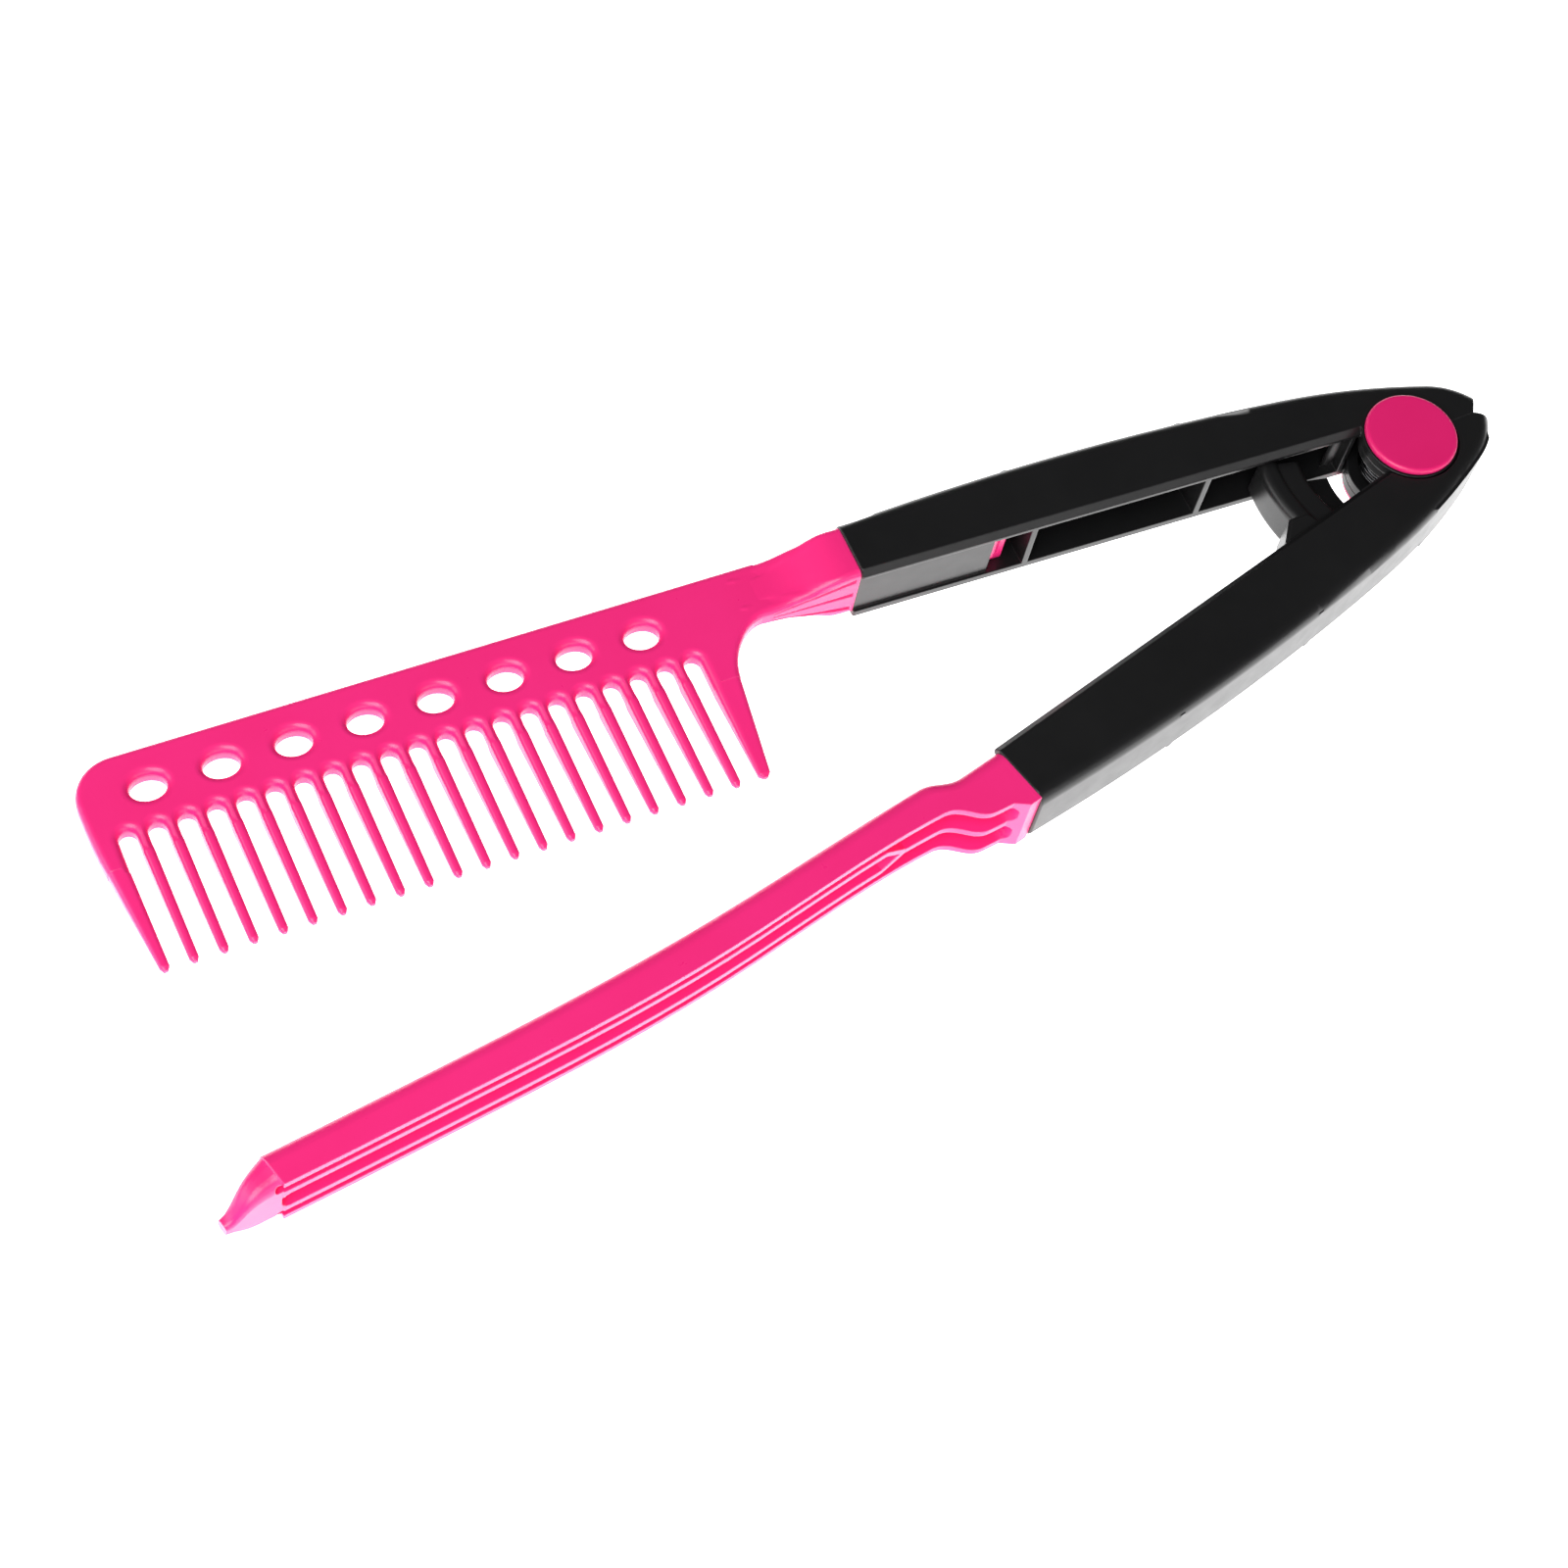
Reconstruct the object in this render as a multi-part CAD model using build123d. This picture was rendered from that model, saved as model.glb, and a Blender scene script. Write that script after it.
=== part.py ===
from build123d import *
from collections import namedtuple
import math
import os

# Hinged V comb for straightening hair: a comb jaw and a slotted guide jaw on two sprung handles.
# Millimetres and degrees. The hinge axis is Z, z = 0 is the underside of the lower hinge cap,
# and the comb arm lies along -X with its teeth pointing towards -Y.
# Each handle is drawn with the hinge at the origin, its arm along -X and its outer side towards +Y.
# The guide handle is mirrored and turned by rest_angle, and the middle of the thickness is at z = 0
# until place() lifts a finished piece.

# ---- arms and motion
rest_angle = 15.6            # between the two arms when the tail stops meet
comb_reach = 97.4            # hinge axis to the front of the comb handle
guide_reach = 96.0
handle_thickness = 12.5
handle_wall = 1.8            # outer side wall
handle_skin = 1.6            # top and bottom walls

# ---- handle outline
comb_inner_y = 5.1           # inner edge at the front of the comb handle
comb_inner_end_y = 3.6       # and where it ends, beside the hinge
guide_inner_y = 4.2
guide_inner_end_y = 2.5
inner_end_x = -7.0           # where the inner edge ends, in the hinge's pocket
front_outer_y = 15.6
belly_x, belly_y = -50.0, 16.4
shoulder_x, shoulder_y = -17.0, 14.4
heel_x, heel_y = 8.4, 9.2
heel_end_x, heel_end_y = 16.6, 1.4     # where the contour would run to if the tail weren't cut
notch_reach = 12.9           # hinge axis to the notch between the tails
comb_stop_angle = 4.0        # where the comb handle's stop face lies, above +X
comb_nose_angle = 55.0       # how far a tail's end leans away from its stop face
guide_nose_angle = 32.0
nose_round = 0.8
stop_gap = 0.05
outer_round = 2.2
top_bevel, low_bevel = 1.0, 0.3        # on the inner edges, upper and lower

# ---- handle inside
sleeve_length = 23.6         # closed front part that holds a jaw's tang
sleeve_wall = 1.2
sleeve_recess = 0.5          # the sleeve's inner face lies this far behind the channel's edges
front_round = 0.35
rib_places = (-67.0, -35.5)
rib_thickness = 1.0

# ---- hinge
pin_radius = 2.0
pin_head_radius = 3.6
pin_head_thickness = 0.5
fixed_clearance = 0.02       # radial, on pieces that don't turn on each other
running_clearance = 0.05     # radial, on pieces that turn
knuckle_radius = 8.0
knuckle_thickness = 1.5      # the guide handle's inner knuckles
knuckle_gap = 0.15           # between stacked knuckles
knuckle_side_gap = 0.4       # around a knuckle
knuckle_root_radius = 14.0   # how far the inner knuckles reach into their handle
pocket_radius = 8.6          # hollow around the hinge, inside both handles
cap_radius = 7.8
cap_height = 0.95
cap_gap = 0.3                # cap underside above the handles
cap_round = 0.7
spigot_radius = 4.95
spigot_wall = 0.85
counterbore_depth = 0.7
bush_coil_gap = 0.7          # between the bush and the coil
bush_end_gap = 0.1

# ---- torsion spring
wire_radius = 0.6
coil_radius = 6.0            # to the middle of the wire
whole_turns = 3
coil_end_gap = 0.1
leg_gap = 0.1                # between a leg and the wall it bears on

# ---- guide tongue, which slides into the comb handle
tongue_inner_radius = 18.7
tongue_outer_radius = 26.2
tongue_overlap = 10.0        # degrees past the comb arm's -X axis
tongue_root = 30.0           # degrees of it inside its own handle
tongue_clearance = 0.65      # between the tongue's faces and the comb handle's skins
foot_clearance = 0.35
tongue_step = 0.7            # the inner half is this much thinner on each face
tongue_round = 1.5
web_inner_radius = 12.0      # a floor under the spring's legs joins the tongue to the hinge's side
foot_width = 4.2
foot_height = 3.4

# ---- comb jaw
tooth_pitch = 4.5
tooth_count = 22             # with the thick one at each end
last_tooth_gap = 7.2         # from the end tooth next to the handle to the start of the neck
tooth_tip_y = -20.15
tooth_lean = 0.5             # how far the tips stand towards the handle
gap_width = 2.75
gap_top_y = 2.9
tooth_root_depth = 3.45
tooth_tip_width = 1.5
tooth_tip_depth = 1.4
end_tooth_taper = 2.2        # how far an end tooth's outer side leans in
plate_thickness = 3.6
plate_round = 1.0
spine_low_y = -1.0
spine_top_y = 15.5
comb_end_margin = 3.1        # from the far end tooth's middle to the comb's end
comb_corner = 7.0
rim_round = 1.3              # on the gaps and the holes
hole_count = 8
hole_half_width = 2.8
hole_half_height = 2.1
hole_y = 8.8
hole_end_margin = 10.8       # from the comb's end to the first hole
last_hole_gap = 7.8          # from the last hole to the last tooth

# ---- comb neck
neck_low_y = 6.0
neck_length = 20.6
neck_swell = (                # (place between start and handle, share of the full thickness)
    (0.0, 0.23), (0.2, 0.305), (0.38, 0.36), (0.58, 0.56), (0.78, 0.88), (0.9, 0.98), (1.0, 1.0),
)
flute_depth = 0.35
flute_width = 1.0
flute_count = 3

# ---- tangs
reveal = 0.5                 # how much smaller a jaw's root is than the handle's front
tang_clearance = 0.1
tang_tail = 4.0              # the tang's catch behind the sleeve
catch_height = 0.8
catch_width = 5.0

# ---- guide jaw, with the comb side towards +Y and x = 0 at the front of its handle
jaw_thickness = 12.6
jaw_depth = 6.0
jaw_back = ((-127.5, 0.8), (-104.0, -2.3), (-54.0, -7.2), (-14.0, -8.5))
jaw_wall = 1.25
slot_width = 4.2
groove_depth = 4.2
slot_far_x = -127.7
slot_near_x = -24.0
slot_point_x = -20.0         # where the slot's walls have run together
slot_round = 1.4
groove_round = 0.8
pocket_round = 1.8
groove_extra = 1.0           # the grooves reach past the slot
pocket_near_x = -3.1
jaw_round = 2.3
bend_start_x = -7.1          # between here and the straight part the jaw steps out to the handle
collar_x = -2.7
collar_height = 1.7
tip_sections = (             # x, y of both sides, thickness
    (-129.8, 1.2, 6.0, 11.0), (-132.6, 1.35, 4.9, 8.6), (-134.6, 1.4, 4.1, 4.8), (-136.5, 1.7, 3.7, 2.6),
)

half = handle_thickness / 2
hollow_half = half - handle_skin
inner_knuckle_top = hollow_half - knuckle_gap
inner_knuckle_low = inner_knuckle_top - knuckle_thickness
cap_low = half + cap_gap
cap_top = cap_low + cap_height
guide_stop_angle = rest_angle - comb_stop_angle
socket_outer_y = front_outer_y - handle_wall
bush_radius = coil_radius - wire_radius - bush_coil_gap
tongue_thickness = 2 * (hollow_half - tongue_clearance)
foot_thickness = 2 * (hollow_half - foot_clearance)
tooth_width = tooth_pitch - gap_width
neck_start_x = -comb_reach - neck_length
last_tooth_x = neck_start_x - last_tooth_gap
first_tooth_x = last_tooth_x - (tooth_count - 1) * tooth_pitch
comb_end_x = first_tooth_x - comb_end_margin
first_hole_x = comb_end_x + hole_end_margin
last_hole_x = last_tooth_x - last_hole_gap

Arm = namedtuple("Arm", "reach inner_y inner_end_y stop_angle nose_angle")
comb_arm = Arm(comb_reach, comb_inner_y, comb_inner_end_y, comb_stop_angle, comb_nose_angle)
guide_arm = Arm(guide_reach, guide_inner_y, guide_inner_end_y, guide_stop_angle, guide_nose_angle)


def slab(face, low, high):
    """The solid on a plan face between two heights."""
    return extrude(Pos(0, 0, low) * face, high - low)


def both_sides(solid):
    """A solid and its mirror image below the mid plane."""
    return solid + mirror(solid, about=Plane.XY)


def on_guide_arm(piece):
    """Turns a piece drawn along -X onto the guide arm."""
    return Rot(0, 0, rest_angle) * piece


def box_between(low, high):
    """An axis-aligned box from its two corners."""
    size = [b - a for a, b in zip(low, high)]
    middle = [(a + b) / 2 for a, b in zip(low, high)]
    return Pos(*middle) * Box(*size)


def polar(radius, degrees):
    """A plan point at a radius and angle about the hinge."""
    return (radius * math.cos(math.radians(degrees)), radius * math.sin(math.radians(degrees)))


# ------------------------------------------------------------------ handles

def inner_y(arm, x):
    """Height of a handle's inner edge at x."""
    run = inner_end_x + arm.reach
    return arm.inner_y + (arm.inner_end_y - arm.inner_y) * (x + arm.reach) / run


def sleeve_end(arm):
    """Where the closed front part of a handle ends."""
    return sleeve_length - arm.reach


def socket_inner_y(arm):
    """The socket's side next to the other arm."""
    return arm.inner_y + sleeve_recess + sleeve_wall


def handle_plan(arm):
    """Plan of a handle before its tail is cut to the stop face."""
    front_outer, front_inner = (-arm.reach, front_outer_y), (-arm.reach, arm.inner_y)
    shoulder, heel = (shoulder_x, shoulder_y), (heel_x, heel_y)
    belly = ThreePointArc(front_outer, (belly_x, belly_y), shoulder)
    back = TangentArc(shoulder, heel, tangent=belly % 1)
    tail = TangentArc(heel, (heel_end_x, heel_end_y), tangent=back % 1)
    inside = Polyline(
        (heel_end_x, heel_end_y), (heel_end_x, -half), (inner_end_x, -half),
        (inner_end_x, arm.inner_end_y), front_inner, front_outer,
    )
    return make_face(belly + back + tail + inside)


def handle_outline(arm):
    """Plan of a handle with its stop face and the end of its tail."""
    far = 2 * heel_end_x
    notch = Vector(*polar(notch_reach, arm.stop_angle))
    beyond_end = notch + Vector(*polar(far, arm.stop_angle + arm.nose_angle))
    outside = Polygon(
        (inner_end_x, arm.inner_end_y), (0, 0), notch, beyond_end, (2 * far, -far), (inner_end_x, -far),
        align=None,
    )
    plan = handle_plan(arm) - outside
    nose = plan.vertices().sort_by(Axis.X)[-1]
    return fillet(nose, nose_round)


def handle_body(arm, outline):
    """The outer form: rounded along its outer side and bevelled along its inner side."""
    body = slab(handle_plan(arm), -half, half)
    body = fillet(body.edges().filter_by(GeomType.CIRCLE), outer_round)
    inner_length = 0.9 * (inner_end_x + arm.reach)
    lines = body.edges().filter_by(GeomType.LINE)
    inner = ShapeList([e for e in lines if e.length > inner_length and e.center().Y < front_outer_y / 2])
    low, top = inner.sort_by(Axis.Z)
    body = chamfer(top, top_bevel)
    low = body.edges().sort_by_distance(low.center())[0]
    body = chamfer(low, low_bevel)
    front = body.faces().sort_by(Axis.X)[0]
    body = fillet(front.edges(), front_round)
    return body & slab(outline, -half, half)


def handle_hollow(arm, outline):
    """The channel along the handle, open on the inner side, and the socket in the sleeve."""
    sleeve_end_x = sleeve_end(arm)
    shell = offset(outline, -handle_wall)
    channel = shell & (Pos(sleeve_end_x / 2, 0) * Rectangle(-sleeve_end_x, 4 * arm.reach))
    low, high = -half, arm.inner_end_y + handle_wall
    mouth = Polygon(
        (sleeve_end_x, low), (-pocket_radius, low), (-pocket_radius, high),
        (sleeve_end_x, high + handle_wall),
        align=None,
    )
    front = -arm.reach - 1
    recess = Polygon(
        (front, low), (sleeve_end_x + 1, low),
        (sleeve_end_x + 1, inner_y(arm, sleeve_end_x + 1) + sleeve_recess),
        (front, inner_y(arm, front) + sleeve_recess), align=None,
    )
    plan = channel + mouth + recess + Circle(pocket_radius)
    socket = box_between(
        (front, socket_inner_y(arm), -hollow_half), (sleeve_end_x + 1, socket_outer_y, hollow_half)
    )
    return slab(plan, -hollow_half, hollow_half) + socket


def handle_ribs(outline):
    """Thin plates across the channel."""
    ribs = Sketch()
    for x in rib_places:
        ribs += outline & (Pos(x, 0) * Rectangle(rib_thickness, 4 * front_outer_y))
    return slab(ribs, -hollow_half - 0.2, hollow_half + 0.2)


def comb_handle():
    """The handle that carries the comb, with the outer knuckles and the seats for the caps."""
    outline = handle_outline(comb_arm)
    body = handle_body(comb_arm, outline) - handle_hollow(comb_arm, outline) + handle_ribs(outline)
    knuckle = slab(Circle(knuckle_radius), hollow_half, half)
    seat = slab(Circle(spigot_radius + fixed_clearance), half - counterbore_depth, half + 1)
    body = body + both_sides(knuckle) - both_sides(seat)
    return body - Cylinder(pin_radius + fixed_clearance, 2 * handle_thickness)


def tongue_sector(inner_radius, outer_radius):
    """The stretch of ring about the hinge that the tongue covers."""
    start, end = 180 - tongue_root, 180 + rest_angle + tongue_overlap
    wedge = Polygon((0, 0), polar(2 * guide_reach, start), polar(2 * guide_reach, end), align=None)
    return (Circle(outer_radius) - Circle(inner_radius)) & wedge


def curved_bar(inner_radius, outer_radius, thickness, edge_round):
    """A stretch of flat ring about the hinge, with rounded rims."""
    bar = slab(tongue_sector(inner_radius, outer_radius), -thickness / 2, thickness / 2)
    return fillet(bar.edges().filter_by(GeomType.CIRCLE), edge_round)


def tongue(outline):
    """The curved bar that bridges the arms and slides into the comb handle's channel."""
    middle_radius = (tongue_inner_radius + tongue_outer_radius) / 2
    outer_bar = curved_bar(middle_radius, tongue_outer_radius, tongue_thickness, tongue_round)
    inner_bar = curved_bar(
        tongue_inner_radius, middle_radius + tongue_round + 0.2, tongue_thickness - 2 * tongue_step, 1.0
    )
    web = tongue_sector(web_inner_radius, tongue_inner_radius + 1)
    web = slab(web, -inner_knuckle_top, -inner_knuckle_low)
    root_y = inner_y(guide_arm, -tongue_outer_radius)
    foot = Polygon(
        (-middle_radius, root_y + handle_wall),
        (-tongue_outer_radius - foot_width - 0.5, root_y + handle_wall),
        (-tongue_outer_radius - foot_width, root_y - 0.6),
        (-tongue_outer_radius - 0.7, root_y - foot_height),
        (-middle_radius - 1, root_y - foot_height + 0.8),
        align=None,
    )
    foot = slab(foot, -foot_thickness / 2, foot_thickness / 2)
    rims = [e for e in foot.edges() if e.center().Y < root_y and abs(e.center().Z) > 1]
    foot = chamfer(rims, 0.5)
    inside = slab(outline, -half, half)
    beyond = box_between((-guide_reach, -guide_reach, -half), (0, guide_arm.inner_end_y + 1, half))
    return (outer_bar + inner_bar + web + foot) & (inside + beyond)


def guide_handle():
    """The handle that carries the guide jaw, with the inner knuckles and the tongue."""
    outline = handle_outline(guide_arm)
    body = handle_body(guide_arm, outline) - handle_hollow(guide_arm, outline) + handle_ribs(outline)
    relief = slab(Circle(knuckle_radius + knuckle_side_gap), hollow_half - 1, half + 1)
    body -= both_sides(relief)
    root = outline & Circle(knuckle_root_radius)
    knuckle = slab(Circle(knuckle_radius) + root, inner_knuckle_low, inner_knuckle_top)
    pad = slab(root - Circle(knuckle_radius + knuckle_side_gap), inner_knuckle_low, half - handle_skin / 2)
    body += both_sides(knuckle + pad) + tongue(outline)
    body -= Cylinder(pin_radius + running_clearance, 2 * handle_thickness)
    stop_shift = polar(stop_gap, guide_stop_angle + 90)
    stop_face = Pos(*stop_shift) * Rot(0, 0, guide_stop_angle) * Pos(guide_reach / 2, -guide_reach / 2)
    above_stop = slab(stop_face * Rectangle(guide_reach, guide_reach), -half, half)
    keep_knuckle = slab(Circle(knuckle_radius), -inner_knuckle_top, inner_knuckle_top)
    body -= above_stop - keep_knuckle
    return on_guide_arm(mirror(body, about=Plane.XZ))


# ------------------------------------------------------------------ hinge

def hinge_pin():
    """Headed steel pin; the head is at the lower end."""
    floor = half - counterbore_depth
    shaft = slab(Circle(pin_radius), -floor, floor + 2 * pin_head_thickness)
    head = slab(Circle(pin_head_radius), -floor - pin_head_thickness, -floor)
    head = fillet(head.edges().group_by(Axis.Z)[0], pin_head_thickness / 2)
    shaft = chamfer(shaft.edges().group_by(Axis.Z)[-1], 0.3)
    return shaft + head


def push_nut():
    """Pressed washer that keeps the pin in."""
    floor = half - counterbore_depth
    ring = Circle(pin_head_radius) - Circle(pin_radius + fixed_clearance)
    return slab(ring, floor, floor + pin_head_thickness)


def spring_bush():
    """Sleeve on the pin that the coil sits around."""
    reach = inner_knuckle_low - bush_end_gap
    ring = Circle(bush_radius) - Circle(pin_radius + running_clearance)
    return slab(ring, -reach, reach)


def hinge_cap():
    """Round cover, flat on top with a rounded rim, and a ring that presses into the knuckle."""
    disc = slab(Circle(cap_radius), cap_low, cap_top)
    disc = fillet(disc.edges().group_by(Axis.Z)[-1], cap_round)
    ring = Circle(spigot_radius) - Circle(spigot_radius - spigot_wall)
    return disc + slab(ring, half - counterbore_depth + fixed_clearance, cap_low + 0.1)


def torsion_spring():
    """Close-wound coil around the bush; one leg bears on each handle's outer wall."""
    rise = 2 * (inner_knuckle_low - coil_end_gap - wire_radius)
    bear_x = shoulder_x
    bear_y = shoulder_y - handle_wall - wire_radius - leg_gap
    reach = math.hypot(bear_x, bear_y)
    bear_angle = math.degrees(math.atan2(bear_y, bear_x))
    leave_angle = bear_angle - math.degrees(math.acos(coil_radius / reach))
    start_angle = rest_angle - leave_angle
    turned = whole_turns * 360 + leave_angle - start_angle
    pitch = rise / (turned / 360)
    coil = Pos(0, 0, -rise / 2) * Rot(0, 0, start_angle) * Helix(pitch, rise, coil_radius)
    comb_end = (bear_x, bear_y, rise / 2)
    guide_bear = polar(reach, rest_angle - bear_angle)
    guide_end = (guide_bear[0], guide_bear[1], -rise / 2)
    path = Wire([Line(guide_end, coil @ 0).edge(), coil.edge(), Line(coil @ 1, comb_end).edge()])
    section = Plane(path @ 0, z_dir=path % 0) * Circle(wire_radius)
    return sweep(section, path=path, is_frenet=True, transition=Transition.TRANSFORMED)


# ------------------------------------------------------------------ jaws

def tang(arm):
    """The part of a jaw that sits in a handle's sleeve, with its catch behind the sleeve wall."""
    low, high = socket_inner_y(arm) + tang_clearance, socket_outer_y - tang_clearance
    depth = hollow_half - tang_clearance
    sleeve_end_x = sleeve_end(arm)
    bar = box_between((-arm.reach - 1.5, low, -depth), (sleeve_end_x + tang_tail, high, depth))
    bar = chamfer(bar.faces().sort_by(Axis.X)[-1].edges(), 0.6)
    catch = Polygon(
        (sleeve_end_x + tang_clearance, low + 0.5),
        (sleeve_end_x + tang_clearance, low - catch_height),
        (sleeve_end_x + 1.2, low - catch_height),
        (sleeve_end_x + tang_tail - 0.8, low + 0.5),
        align=None,
    )
    return bar + slab(catch, -catch_width / 2, catch_width / 2)


def across(x, low, high, thickness, radius):
    """A rounded rectangle across an arm at x, between two heights in y."""
    plane = Plane(origin=(x, (low + high) / 2, 0), x_dir=(0, 1, 0), z_dir=(1, 0, 0))
    return plane * RectangleRounded(high - low, thickness, radius)


def comb_neck():
    """Grows from the flat plate to the size of the handle's front, with flutes along its lower side."""
    root_low, root_high = comb_arm.inner_y + reveal, front_outer_y - reveal
    full = handle_thickness - 2 * reveal
    length = -comb_arm.reach - neck_start_x
    sections = []
    for place, share in neck_swell:
        low = neck_low_y + (root_low - neck_low_y) * place
        high = spine_top_y - 0.2 + (root_high - spine_top_y + 0.2) * place
        sections.append(across(neck_start_x + place * length, low, high, share * full, plate_round))
    neck = loft(sections)
    return neck - neck_flutes(neck_start_x + 0.3 * length, -comb_arm.reach - 0.6, root_low, full)


def neck_flutes(start_x, end_x, root_low, full):
    """Shallow grooves that fan out towards the handle."""
    flutes = Part()
    for i in range(flute_count):
        side = (i - (flute_count - 1) / 2) * full / flute_count
        wedge = Polygon(
            (start_x, 0.2 * side - 0.1), (end_x, side - flute_width / 2),
            (end_x, side + flute_width / 2), (start_x, 0.2 * side + 0.1), align=None,
        )
        flutes += extrude(Plane.XZ.offset(-root_low - flute_depth) * wedge, 5)
    return flutes


def comb_plate():
    """The spine with the roots of the end teeth and the start of the neck."""
    far_gap, near_gap = end_gap_sides()
    root_y = spine_low_y - 2
    corner = (comb_end_x + comb_corner, spine_top_y)
    side = (comb_end_x, spine_top_y - comb_corner)
    far_root = (comb_end_x + 0.7, root_y)
    near_root = (last_tooth_x + 3.9, root_y)
    neck_low = (neck_start_x + 5.5, neck_low_y)
    neck_end = neck_start_x + 6.5
    outline = Line((neck_end, spine_top_y), corner) + TangentArc(corner, side, tangent=(-1, 0))
    outline += Spline([side, far_root], tangents=[(0, -1), (0.15, -1)])
    outline += Polyline(far_root, (far_gap, root_y), (far_gap, spine_low_y), (near_gap, spine_low_y))
    outline += Polyline((near_gap, spine_low_y), (near_gap, root_y), near_root)
    outline += Spline([near_root, (neck_start_x, 3.5), neck_low], tangents=[(0.16, 1), (1, 0)])
    outline += Polyline(neck_low, (neck_end, neck_low_y), (neck_end, spine_top_y))
    plate = slab(make_face(outline), -plate_thickness / 2, plate_thickness / 2)
    faces = plate.faces().sort_by(Axis.Z)
    rims = [e for e in faces[0].edges() + faces[-1].edges() if outside_rim(e)]
    return fillet(rims, plate_round)


def outside_rim(edge):
    """Whether an edge of the comb's plate lies on its outer contour, away from the teeth and the neck."""
    middle = edge.center()
    return middle.Y > spine_low_y + 0.5 and middle.X < neck_start_x + 5.6


def end_gap_sides():
    """The sides of the end teeth that face the first and the last gap."""
    return first_tooth_x + tooth_width / 2, last_tooth_x - tooth_width / 2


def below(y, low, high, depth, radius):
    """A rounded rectangle across a tooth at y, between two places in x."""
    plane = Plane(origin=((low + high) / 2, y, 0), x_dir=(1, 0, 0), z_dir=(0, -1, 0))
    return plane * RectangleRounded(high - low, depth, radius)


def comb_tooth(x):
    """One thin tooth, oval in section and tapering to its tip."""
    low_y = tooth_tip_y + 0.7
    tip_x = x + tooth_lean
    buried_half = 0.4 * tooth_width
    buried = below(gap_top_y - gap_width / 2, x - buried_half, x + buried_half, 0.75 * tooth_root_depth, 0.6)
    root_y = spine_low_y - 0.3
    root = below(root_y, x - tooth_width / 2, x + tooth_width / 2, tooth_root_depth, 0.45 * tooth_width)
    end = below(low_y, tip_x - tooth_tip_width / 2, tip_x + tooth_tip_width / 2, tooth_tip_depth, 0.6)
    nib = below(tooth_tip_y, tip_x - tooth_tip_width / 4, tip_x + tooth_tip_width / 4, 0.8, 0.3)
    return loft([buried, root, end, nib], ruled=True)


def end_tooth(side_x, outer_x, direction):
    """A thick end tooth between its gap side and its outer side, which leans in towards the tip."""
    root_y, low_y = spine_low_y - 1.5, tooth_tip_y + 0.7
    tip_side = side_x + tooth_lean
    tip_outer = outer_x + direction * end_tooth_taper
    root = below(root_y, min(side_x, outer_x), max(side_x, outer_x), plate_thickness, plate_round)
    tip_low, tip_high = min(tip_side, tip_outer), max(tip_side, tip_outer)
    end = below(low_y, tip_low, tip_high, tooth_tip_depth, 0.4 * tooth_tip_depth)
    middle = (tip_side + tip_outer) / 2
    nib = below(tooth_tip_y, middle - 0.4, middle + 0.4, 0.8, 0.3)
    return loft([root, end, nib], ruled=True)


def rounded_cutter(opening):
    """What an opening with rounded rims takes out of the plate."""
    reach = hole_half_width + 2 * rim_round
    block = Box(2 * reach, 2 * reach, plate_thickness)
    drilled = block - slab(opening, -plate_thickness, plate_thickness)
    rims = ShapeList()
    for edge in drilled.edges():
        middle = edge.center()
        on_face = abs(abs(middle.Z) - plate_thickness / 2) < 0.001
        if on_face and max(abs(middle.X), abs(middle.Y)) < reach - 0.1 and edge.length > rim_round:
            rims.append(edge)
    return block - fillet(rims, rim_round)


def gap_opening():
    """The rounded top of a gap and its straight sides, drawn about the middle of the round."""
    depth = 2 * hole_half_width + 4 * rim_round
    return Circle(gap_width / 2) + Pos(0, -depth / 2) * Rectangle(gap_width, depth)


def comb():
    """The comb jaw in one moulding: spine, teeth, holes, neck and tang."""
    far_gap, near_gap = end_gap_sides()
    body = comb_plate()
    body += end_tooth(far_gap, comb_end_x + 0.7, 1) + end_tooth(near_gap, last_tooth_x + 3.9, -1)
    gap = rounded_cutter(gap_opening())
    gap_y = gap_top_y - gap_width / 2
    gaps = [Pos(first_tooth_x + (i + 0.5) * tooth_pitch, gap_y) * gap for i in range(tooth_count - 1)]
    hole = rounded_cutter(Ellipse(hole_half_width, hole_half_height))
    hole_step = (last_hole_x - first_hole_x) / (hole_count - 1)
    holes = [Pos(first_hole_x + i * hole_step, hole_y) * hole for i in range(hole_count)]
    body -= gaps + holes
    teeth = [comb_tooth(first_tooth_x + i * tooth_pitch) for i in range(1, tooth_count - 1)]
    return body + teeth + [comb_neck(), tang(comb_arm)]


def jaw_outline():
    """Plan of the guide jaw from its root to where the tip begins."""
    back = [Vector(*p) for p in jaw_back]
    front = [p + Vector(0, jaw_depth) for p in back]
    root_inner, root_outer = -guide_arm.inner_y - reveal, -front_outer_y + reveal
    waist_y = root_outer + collar_height
    bend_back, bend_front = Vector(bend_start_x, waist_y + 0.4), Vector(bend_start_x, root_inner)
    edges = Spline(back, tangents=[(1, -0.14), (1, -0.12)])
    edges += Spline([back[-1], bend_back], tangents=[(1, -0.12), (1, -0.12)])
    edges += Polyline(bend_back, (collar_x - 1.5, waist_y), (collar_x + 0.5, root_outer), (0, root_outer))
    edges += Polyline((0, root_outer), (0, root_inner), bend_front)
    edges += Spline([bend_front, front[-1]], tangents=[(-1, 0), (-1, 0.05)])
    edges += Spline(front[::-1], tangents=[(-1, 0.05), (-1, 0.14)])
    edges += Line(front[0], back[0])
    return make_face(edges)


def jaw_tip():
    """Nose that narrows to a small rounded end."""
    far = Vector(*jaw_back[0])
    start = across(far.X + 0.5, far.Y + 0.1, far.Y + jaw_depth - 0.1, jaw_thickness - 0.1, 0.9 * jaw_round)
    rest = [across(x, low, high, thickness, 0.38 * (high - low)) for x, low, high, thickness in tip_sections]
    return loft([start] + rest)


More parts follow.
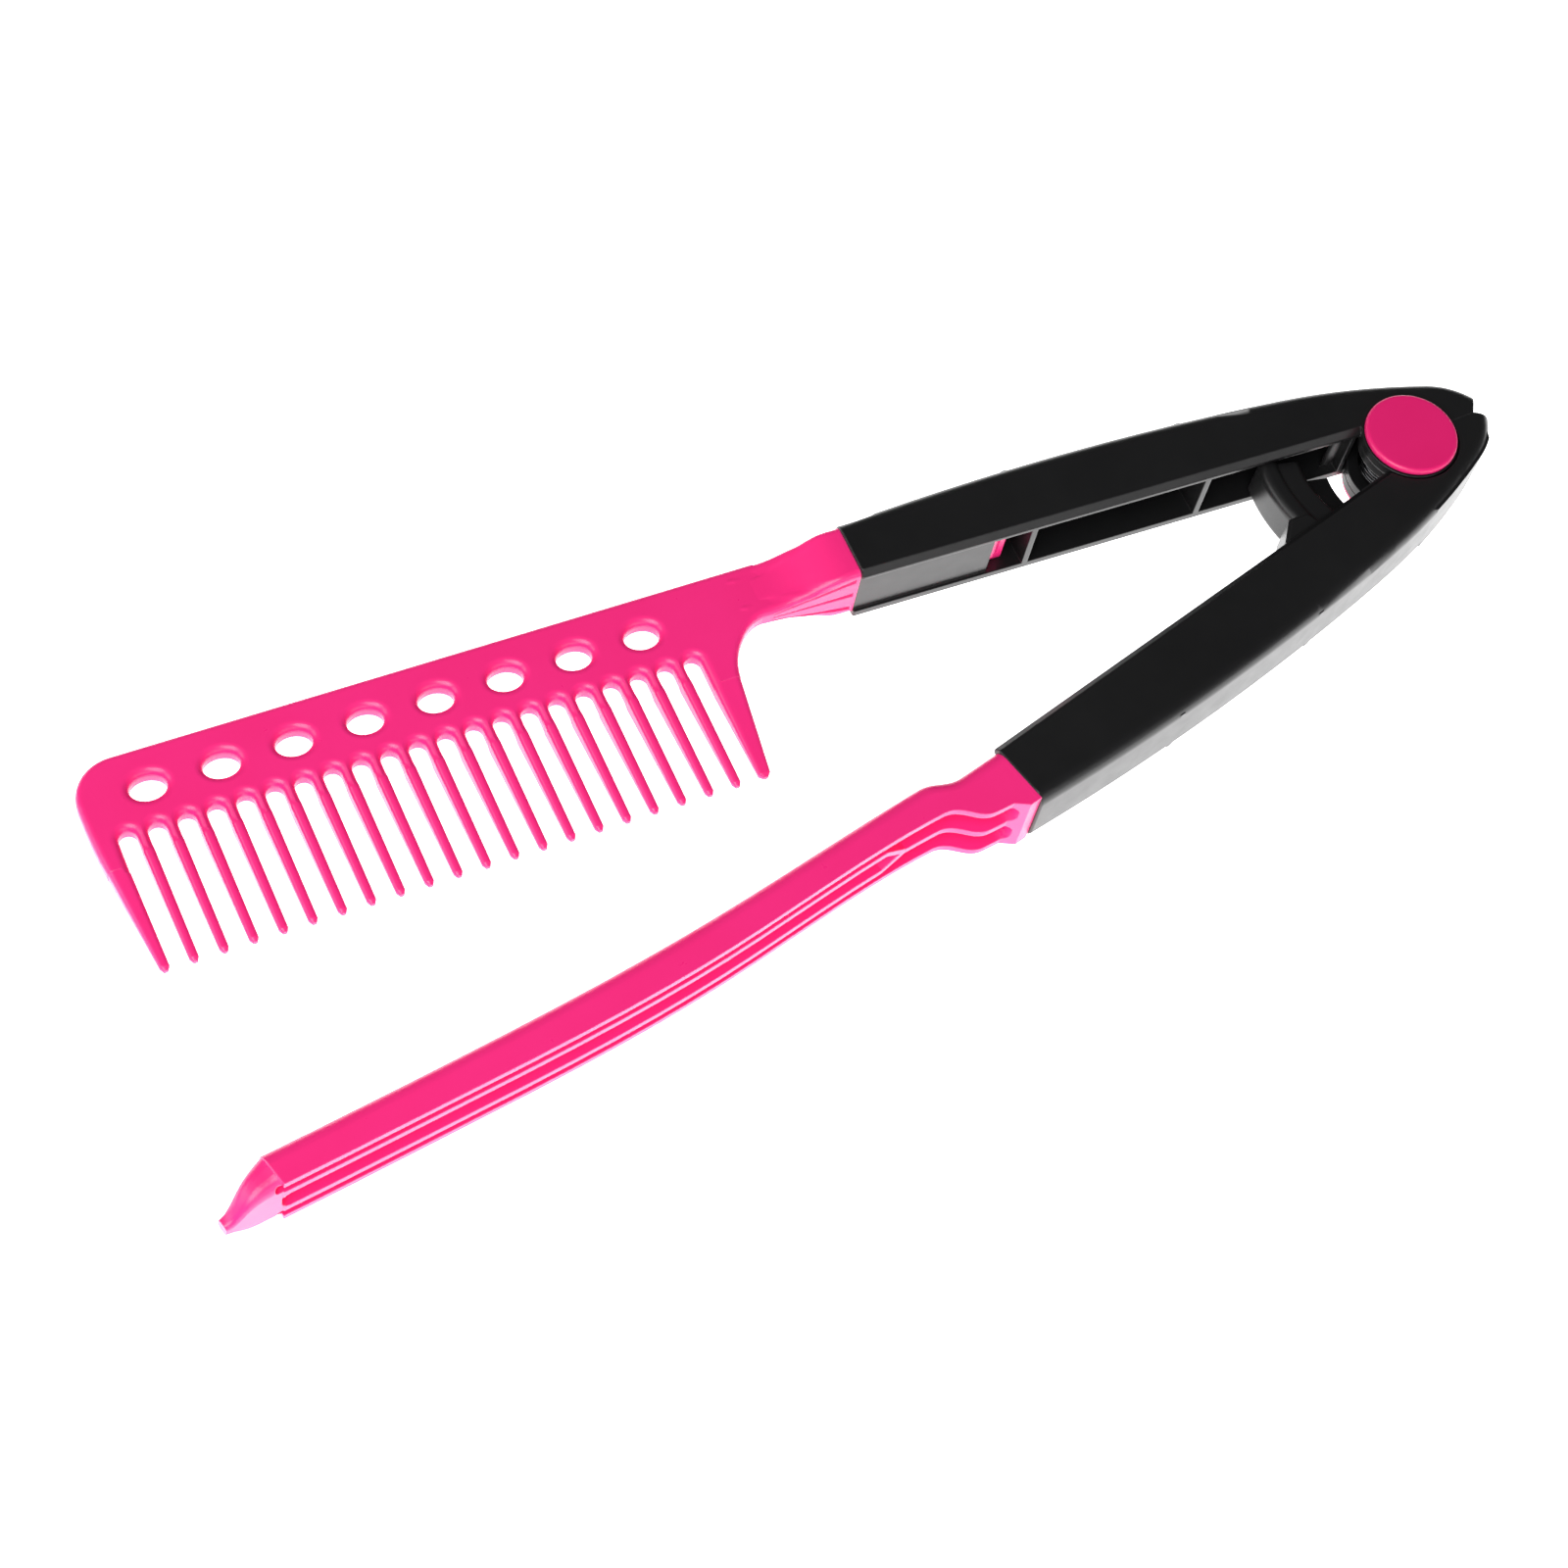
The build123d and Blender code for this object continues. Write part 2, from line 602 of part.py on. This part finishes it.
def jaw_cuts():
    """The through slot for the teeth, the grooves beside it and the pockets at the root."""
    top = jaw_thickness / 2
    slot_half = slot_width / 2
    groove_low, groove_high = slot_half + jaw_wall, top - jaw_wall
    groove_far_x = slot_far_x - groove_extra
    rib_half = jaw_wall / 2
    slot = Polygon(
        (slot_far_x, -slot_half), (slot_near_x, -slot_half), (slot_point_x - 1, 0),
        (slot_near_x, slot_half), (slot_far_x, slot_half), align=None,
    )
    slot = fillet(slot.vertices().group_by(Axis.X)[0], slot_round)
    groove = Polygon(
        (groove_far_x, groove_low), (slot_near_x, groove_low), (slot_point_x, rib_half),
        (pocket_near_x, rib_half), (pocket_near_x, groove_high), (groove_far_x, groove_high), align=None,
    )
    ends = groove.vertices().group_by(Axis.X)
    groove = fillet(ends[0], groove_round)
    groove = fillet(groove.vertices().group_by(Axis.X)[-1], pocket_round)
    through = extrude(Plane.XZ * slot, 80, both=True)
    grooves = extrude(Plane.XZ * groove, 80, both=True)
    grooves += mirror(grooves, about=Plane.XY)
    reach = slab(Pos(0, groove_depth - jaw_depth) * jaw_outline(), -top, top)
    far_x, far_y = jaw_back[0]
    reach += box_between((groove_far_x - 1, -jaw_depth, -top), (far_x + 1, far_y + groove_depth, top))
    return through + (grooves & reach)


def guide_jaw():
    """The slotted jaw that the comb's teeth close into."""
    top = jaw_thickness / 2
    body = slab(jaw_outline(), -top, top)
    long_edges = body.edges().filter_by(GeomType.BSPLINE).sort_by(SortBy.LENGTH)[-4:]
    body = fillet(long_edges.sort_by(Axis.Y)[-2:], jaw_round)
    body = body + jaw_tip() - jaw_cuts()
    body = Pos(-guide_reach, 0) * body
    return on_guide_arm(body + mirror(tang(guide_arm), about=Plane.XZ))


# ------------------------------------------------------------------ export

def place(piece):
    """Lifts a piece from the mid plane to its height above the rest plane."""
    return Pos(0, 0, cap_top) * piece


def main():
    cap = hinge_cap()
    pieces = {
        "comb": comb(),
        "guide_jaw": guide_jaw(),
        "comb_handle": comb_handle(),
        "guide_handle": guide_handle(),
        "hinge_pin": hinge_pin(),
        "push_nut": push_nut(),
        "spring_bush": spring_bush(),
        "torsion_spring": torsion_spring(),
        "cap_top": cap,
        "cap_bottom": mirror(cap, about=Plane.XY),
    }
    os.makedirs("parts", exist_ok=True)
    for name, piece in pieces.items():
        export_step(place(piece), f"parts/{name}.step")


main()
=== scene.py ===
import math

import bpy
from mathutils import Matrix, Vector


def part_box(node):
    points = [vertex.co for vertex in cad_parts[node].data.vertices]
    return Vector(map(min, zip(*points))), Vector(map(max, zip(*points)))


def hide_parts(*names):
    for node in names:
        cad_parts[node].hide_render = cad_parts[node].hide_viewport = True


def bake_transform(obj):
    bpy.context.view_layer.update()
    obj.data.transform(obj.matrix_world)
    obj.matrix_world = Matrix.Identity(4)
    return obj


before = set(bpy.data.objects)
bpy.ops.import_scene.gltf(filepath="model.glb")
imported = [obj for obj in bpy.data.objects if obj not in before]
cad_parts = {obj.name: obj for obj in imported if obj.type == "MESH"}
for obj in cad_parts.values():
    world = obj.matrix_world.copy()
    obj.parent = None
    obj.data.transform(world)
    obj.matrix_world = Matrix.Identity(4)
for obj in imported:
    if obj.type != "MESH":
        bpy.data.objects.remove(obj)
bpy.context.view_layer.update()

# Looks for the hinged straightening comb. Metres, in the CAD frame: the hinge axis is Z, the comb
# arm lies along -X with its teeth towards -Y, and the piece lies flat on z = 0.

MM = 0.001


# ------------------------------------------------------------------ materials

# Noise scales, in features per metre. The second breaks the painted edge highlight into patches.
COLOUR_DRIFT = 60.0
EDGE_HIGHLIGHT_PATCHES = 500.0
POLISH_PATCHES = 350.0
FLOW_WAVES = 120.0
MOULD_GRAIN = 4000.0
METAL_MARKS = 1500.0

# The band of the noise that a colour changes over, and how far the painted highlight lightens
# edges.
DRIFT_BAND = (0.3, 0.7)
MARK_BAND = (0.35, 0.65)
EDGE_HIGHLIGHT_RANGE = (0.2, 0.8)

EDGE_SAMPLES = 6
EVEN_DOT, SHARP_DOT = 0.995, 0.8     # rounded normal dot true normal, on a flat face and an edge
POLISH_SPREAD = 0.06                 # roughness either side of its mean
FLOW_STRETCH = (0.3, 1, 1)           # the waves are long in X, the way that the plastic ran
FLOW_HEIGHT = 0.25 * MM
FLOW_STRENGTH = 0.3
GRAIN_STRENGTH = 0.5
PLASTIC_IOR = 1.5
MARK_SHADE = 0.75                    # the darker marks in a metal, as a share of its colour
MARK_HEIGHT = 0.01 * MM
MARK_STRENGTH = 0.4
MARK_DULLING = (-0.08, 0.1)          # added to a metal's roughness, between its marks and in them


def new_material(name):
    material = bpy.data.materials.new(name)
    material.use_nodes = True
    return material, material.node_tree, material.node_tree.nodes["Principled BSDF"]


def add(tree, kind, **values):
    """A new node, with its settings and unlinked inputs set by name."""
    node = tree.nodes.new(kind)
    for key, value in values.items():
        if key in node.inputs:
            node.inputs[key].default_value = value
        else:
            setattr(node, key, value)
    return node


def noise(tree, scale, detail, stretch=(1, 1, 1)):
    """Noise in object space. The scale is in features per metre."""
    place = add(tree, "ShaderNodeTexCoord")
    mapping = add(tree, "ShaderNodeMapping", Scale=stretch)
    texture = add(tree, "ShaderNodeTexNoise", Scale=scale, Detail=detail)
    tree.links.new(place.outputs["Object"], mapping.inputs["Vector"])
    tree.links.new(mapping.outputs["Vector"], texture.inputs["Vector"])
    return texture.outputs["Fac"]


def ramp(tree, value, low, high, start, end):
    """Maps a value between start and end onto two colours."""
    node = add(tree, "ShaderNodeValToRGB")
    for element, position, colour in zip(node.color_ramp.elements, (start, end), (low, high)):
        element.position = position
        element.color = (*colour, 1)
    tree.links.new(value, node.inputs["Fac"])
    return node.outputs["Color"]


def spread(tree, value, low, high):
    """Maps a 0 to 1 value onto a range."""
    node = add(tree, "ShaderNodeMapRange")
    node.inputs["To Min"].default_value = low
    node.inputs["To Max"].default_value = high
    tree.links.new(value, node.inputs["Value"])
    return node.outputs["Result"]


def bump(tree, height, distance, strength, under=None):
    """The normal of a bumpy surface, on top of another bump's normal if there is one."""
    node = add(tree, "ShaderNodeBump", Strength=strength, Distance=distance)
    tree.links.new(height, node.inputs["Height"])
    if under is not None:
        tree.links.new(under, node.inputs["Normal"])
    return node.outputs["Normal"]


def edge_mask(tree, radius):
    """The rounded-edge normal, and a mask that is 1 along sharp edges and 0 on flat faces."""
    rounded = add(tree, "ShaderNodeBevel", samples=EDGE_SAMPLES, Radius=radius)
    flat = add(tree, "ShaderNodeNewGeometry")
    dot = add(tree, "ShaderNodeVectorMath", operation="DOT_PRODUCT")
    tree.links.new(rounded.outputs["Normal"], dot.inputs[0])
    tree.links.new(flat.outputs["Normal"], dot.inputs[1])
    mask = add(tree, "ShaderNodeMapRange")
    mask.inputs["From Min"].default_value = EVEN_DOT
    mask.inputs["From Max"].default_value = SHARP_DOT
    tree.links.new(dot.outputs["Value"], mask.inputs["Value"])
    return rounded.outputs["Normal"], mask.outputs["Result"]


def mix(tree, factor, first, second):
    """Mixes a linked colour with a fixed one."""
    node = add(tree, "ShaderNodeMix", data_type="RGBA")
    tree.links.new(factor, node.inputs["Factor"])
    tree.links.new(first, node.inputs["A"])
    node.inputs["B"].default_value = (*second, 1)
    return node.outputs["Result"]


def moulded_plastic(name, colour, deeper, edge_highlight, roughness, grain, edge):
    """Moulded plastic: slow colour drift, uneven polish, fine grain, and a painted highlight in
    patches along its edges.
    """
    material, tree, shader = new_material(name)
    rounded, on_edge = edge_mask(tree, edge)

    drift = ramp(tree, noise(tree, COLOUR_DRIFT, detail=2.0), deeper, colour, *DRIFT_BAND)
    # Sharp edges are mixed towards a lighter colour in noisy patches: a painted highlight along
    # the edges.
    highlight_amount = add(tree, "ShaderNodeMath", operation="MULTIPLY")
    highlight_patches = spread(tree, noise(tree, EDGE_HIGHLIGHT_PATCHES, detail=4.0), *EDGE_HIGHLIGHT_RANGE)
    tree.links.new(on_edge, highlight_amount.inputs[0])
    tree.links.new(highlight_patches, highlight_amount.inputs[1])
    highlit_colour = mix(tree, highlight_amount.outputs["Value"], drift, edge_highlight)
    tree.links.new(highlit_colour, shader.inputs["Base Color"])

    polish = noise(tree, POLISH_PATCHES, detail=4.0)
    uneven = spread(tree, polish, roughness - POLISH_SPREAD, roughness + POLISH_SPREAD)
    tree.links.new(uneven, shader.inputs["Roughness"])

    waves = noise(tree, FLOW_WAVES, detail=1.0, stretch=FLOW_STRETCH)
    flow = bump(tree, waves, FLOW_HEIGHT, FLOW_STRENGTH, under=rounded)
    grains = noise(tree, MOULD_GRAIN, detail=2.0)
    fine = bump(tree, grains, grain, GRAIN_STRENGTH, under=flow)
    tree.links.new(fine, shader.inputs["Normal"])
    shader.inputs["IOR"].default_value = PLASTIC_IOR
    return material


def metal(name, colour, roughness, stretch):
    """Drawn or turned steel. The marks are long in the directions where stretch is under 1."""
    material, tree, shader = new_material(name)
    marks = noise(tree, METAL_MARKS, detail=3.0, stretch=stretch)
    darker = tuple(MARK_SHADE * channel for channel in colour)
    tree.links.new(ramp(tree, marks, darker, colour, *MARK_BAND), shader.inputs["Base Color"])
    dull = spread(tree, marks, *(roughness + change for change in MARK_DULLING))
    tree.links.new(dull, shader.inputs["Roughness"])
    scratches = bump(tree, marks, MARK_HEIGHT, MARK_STRENGTH)
    tree.links.new(scratches, shader.inputs["Normal"])
    shader.inputs["Metallic"].default_value = 1.0
    return material


# Each plastic's lighter edge colour is a painted highlight.
PINK = moulded_plastic(
    "pink_plastic",
    colour=(0.965, 0.027, 0.228),
    deeper=(0.945, 0.024, 0.21),
    edge_highlight=(0.98, 0.2, 0.48),
    roughness=0.3,
    grain=0.006 * MM,
    edge=0.3 * MM,
)
CAP = moulded_plastic(
    "cap_plastic",
    colour=(0.82, 0.016, 0.17),
    deeper=(0.79, 0.013, 0.155),
    edge_highlight=(0.9, 0.12, 0.36),
    roughness=0.34,
    grain=0.006 * MM,
    edge=0.25 * MM,
)
BLACK = moulded_plastic(
    "black_plastic",
    colour=(0.009, 0.009, 0.0094),
    deeper=(0.007, 0.007, 0.0074),
    edge_highlight=(0.035, 0.035, 0.036),
    roughness=0.34,
    grain=0.012 * MM,
    edge=0.3 * MM,
)
NYLON = moulded_plastic(
    "bush_nylon",
    colour=(0.05, 0.05, 0.05),
    deeper=(0.04, 0.04, 0.04),
    edge_highlight=(0.08, 0.08, 0.08),
    roughness=0.45,
    grain=0.01 * MM,
    edge=0.2 * MM,
)
STEEL = metal("steel", colour=(0.55, 0.56, 0.58), roughness=0.3, stretch=(1, 1, 0.2))
SPRING = metal("spring_steel", colour=(0.09, 0.09, 0.095), roughness=0.22, stretch=(1, 1, 1))

NODE_MATERIAL = {
    "comb": PINK, "guide_jaw": PINK, "cap_top": CAP, "cap_bottom": CAP,
    "comb_handle": BLACK, "guide_handle": BLACK,
    "hinge_pin": STEEL, "push_nut": STEEL, "spring_bush": NYLON,
}
for node_name, material in NODE_MATERIAL.items():
    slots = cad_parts[node_name].data.materials
    slots.clear()
    slots.append(material)


# ------------------------------------------------------------------ torsion spring

WIRE_RADIUS = 0.6 * MM
COIL_RADIUS = 6.0 * MM               # to the middle of the wire
WHOLE_TURNS = 3
REST_ANGLE = math.radians(15.6)      # between the arms
LEG_END = Vector((-17.0, 11.9, 0)) * MM      # the comb arm's leg ends here, on the handle's wall
WIRE_SIDES = 16
STEPS_PER_TURN = 64
STEPS_PER_LEG = 24


def spring_path():
    """The wire's middle line: the guide arm's leg, the coil, and the comb arm's leg."""
    low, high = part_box("torsion_spring")
    bottom, top = low[2] + WIRE_RADIUS, high[2] - WIRE_RADIUS
    comb_angle = math.atan2(LEG_END.y, LEG_END.x)
    leave = comb_angle - math.acos(COIL_RADIUS / LEG_END.length)
    start = REST_ANGLE - leave
    turned = math.tau * WHOLE_TURNS + leave - start
    steps = round(STEPS_PER_TURN * turned / math.tau)
    coil = [
        on_circle(COIL_RADIUS, start + turned * i / steps, bottom + (top - bottom) * i / steps)
        for i in range(steps + 1)
    ]
    guide_end = on_circle(LEG_END.length, REST_ANGLE - comb_angle, bottom)
    comb_end = Vector((LEG_END.x, LEG_END.y, top))
    return run(guide_end, coil[0])[:-1] + coil + run(coil[-1], comb_end)[1:]


def on_circle(radius, angle, height):
    """A point at a radius and angle about the hinge axis."""
    return Vector((radius * math.cos(angle), radius * math.sin(angle), height))


def run(first, last):
    """Evenly spaced points on a straight leg, both ends included."""
    return [first.lerp(last, i / STEPS_PER_LEG) for i in range(STEPS_PER_LEG + 1)]


def wire(name, points, radius):
    """A round wire along a line of points."""
    tangents = []
    for i in range(len(points)):
        before, after = points[max(i - 1, 0)], points[min(i + 1, len(points) - 1)]
        tangents.append((after - before).normalized())
    vertices = []
    for point, tangent in zip(points, tangents):
        side = Vector((0, 0, 1)).cross(tangent).normalized()
        up = tangent.cross(side)
        for k in range(WIRE_SIDES):
            turn = math.tau * k / WIRE_SIDES
            vertices.append(point + radius * (math.cos(turn) * side + math.sin(turn) * up))
    faces = []
    for i in range(len(points) - 1):
        for k in range(WIRE_SIDES):
            a, b = i * WIRE_SIDES + k, i * WIRE_SIDES + (k + 1) % WIRE_SIDES
            faces.append((a, b, b + WIRE_SIDES, a + WIRE_SIDES))
    last_ring = (len(points) - 1) * WIRE_SIDES
    faces.append(tuple(range(WIRE_SIDES))[::-1])
    faces.append(tuple(range(last_ring, last_ring + WIRE_SIDES)))
    mesh = bpy.data.meshes.new(name)
    mesh.from_pydata(vertices, [], faces)
    mesh.update()
    for polygon in mesh.polygons:
        polygon.use_smooth = len(polygon.vertices) == 4
    piece = bpy.data.objects.new(name, mesh)
    bpy.context.scene.collection.objects.link(piece)
    return piece


# The wire's comb-arm leg ends near its top and its guide-arm leg near its bottom.
spring = wire("spring_wire", spring_path(), WIRE_RADIUS)
spring.data.materials.append(SPRING)
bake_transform(spring)
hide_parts("torsion_spring")


# ------------------------------------------------------------------ floor, light, camera

FLOOR_HALF = 6.0
FLOOR_DROP = 0.1 * MM                # keeps the floor's plane clear of the cap's flat face
FLOOR_SHADE = 0.8
FLOOR_GLOW = 2.0
FLOOR_ROUGHNESS = 0.9
WORLD_STRENGTH = 0.08
LIGHT_TARGET = (-0.1, 0, 0)
SOFTBOXES = (                        # name, place, size, watts
    ("key", (-0.75, -0.55, 1.1), (1.0, 1.0), 19.0),
    ("front", (0.1, -1.1, 0.42), (1.4, 0.5), 4.0),
    ("left", (-1.2, 0.3, 0.6), (0.7, 0.7), 4.0),
)
CAMERA_PLACE = (-0.27744, -0.22715, 0.44278)
CAMERA_TARGET = (-0.12233, -0.02199, 0.0075)
CAMERA_ROLL = math.radians(15.12)
CAMERA_LENS, CAMERA_SENSOR = 76.5, 36.0      # mm
CAMERA_CLIP = (0.01, 20.0)


def aim(place, target):
    """The turn that points a light or camera at a target."""
    return (Vector(target) - Vector(place)).to_track_quat("-Z", "Y")


def floor():
    """A matt white sheet that glows a little, like a light table, so it takes no hard shadow."""
    material, _, shader = new_material("floor")
    shader.inputs["Base Color"].default_value = (FLOOR_SHADE, FLOOR_SHADE, FLOOR_SHADE, 1)
    shader.inputs["Roughness"].default_value = FLOOR_ROUGHNESS
    shader.inputs["Emission Color"].default_value = (1, 1, 1, 1)
    shader.inputs["Emission Strength"].default_value = FLOOR_GLOW
    corners = [
        (x * FLOOR_HALF, y * FLOOR_HALF, 0) for x, y in ((-1, -1), (1, -1), (1, 1), (-1, 1))
    ]
    mesh = bpy.data.meshes.new("floor")
    mesh.from_pydata(corners, [], [(0, 1, 2, 3)])
    mesh.materials.append(material)
    plane = bpy.data.objects.new("floor", mesh)
    bpy.context.scene.collection.objects.link(plane)
    plane.location.z = -FLOOR_DROP


def softbox(name, place, size, power):
    light = bpy.data.lights.new(name, "AREA")
    light.shape = "RECTANGLE"
    light.size, light.size_y = size
    light.energy = power
    lamp = bpy.data.objects.new(name, light)
    lamp.location = place
    lamp.rotation_euler = aim(place, LIGHT_TARGET).to_euler()
    bpy.context.scene.collection.objects.link(lamp)


def camera():
    data = bpy.data.cameras.new("camera")
    data.sensor_width = CAMERA_SENSOR
    data.lens = CAMERA_LENS
    data.clip_start, data.clip_end = CAMERA_CLIP
    rig = bpy.data.objects.new("camera", data)
    facing = aim(CAMERA_PLACE, CAMERA_TARGET).to_matrix().to_4x4()
    roll = Matrix.Rotation(CAMERA_ROLL, 4, "Z")
    rig.matrix_world = Matrix.Translation(CAMERA_PLACE) @ facing @ roll
    bpy.context.scene.collection.objects.link(rig)
    bpy.context.scene.camera = rig


def studio_world():
    world = bpy.data.worlds.new("studio")
    world.use_nodes = True
    background = world.node_tree.nodes["Background"]
    background.inputs["Color"].default_value = (1, 1, 1, 1)
    background.inputs["Strength"].default_value = WORLD_STRENGTH
    bpy.context.scene.world = world


floor()
for box_name, place, size, power in SOFTBOXES:
    softbox(box_name, place, size, power)
camera()
studio_world()
bpy.context.scene.view_settings.view_transform = "Standard"
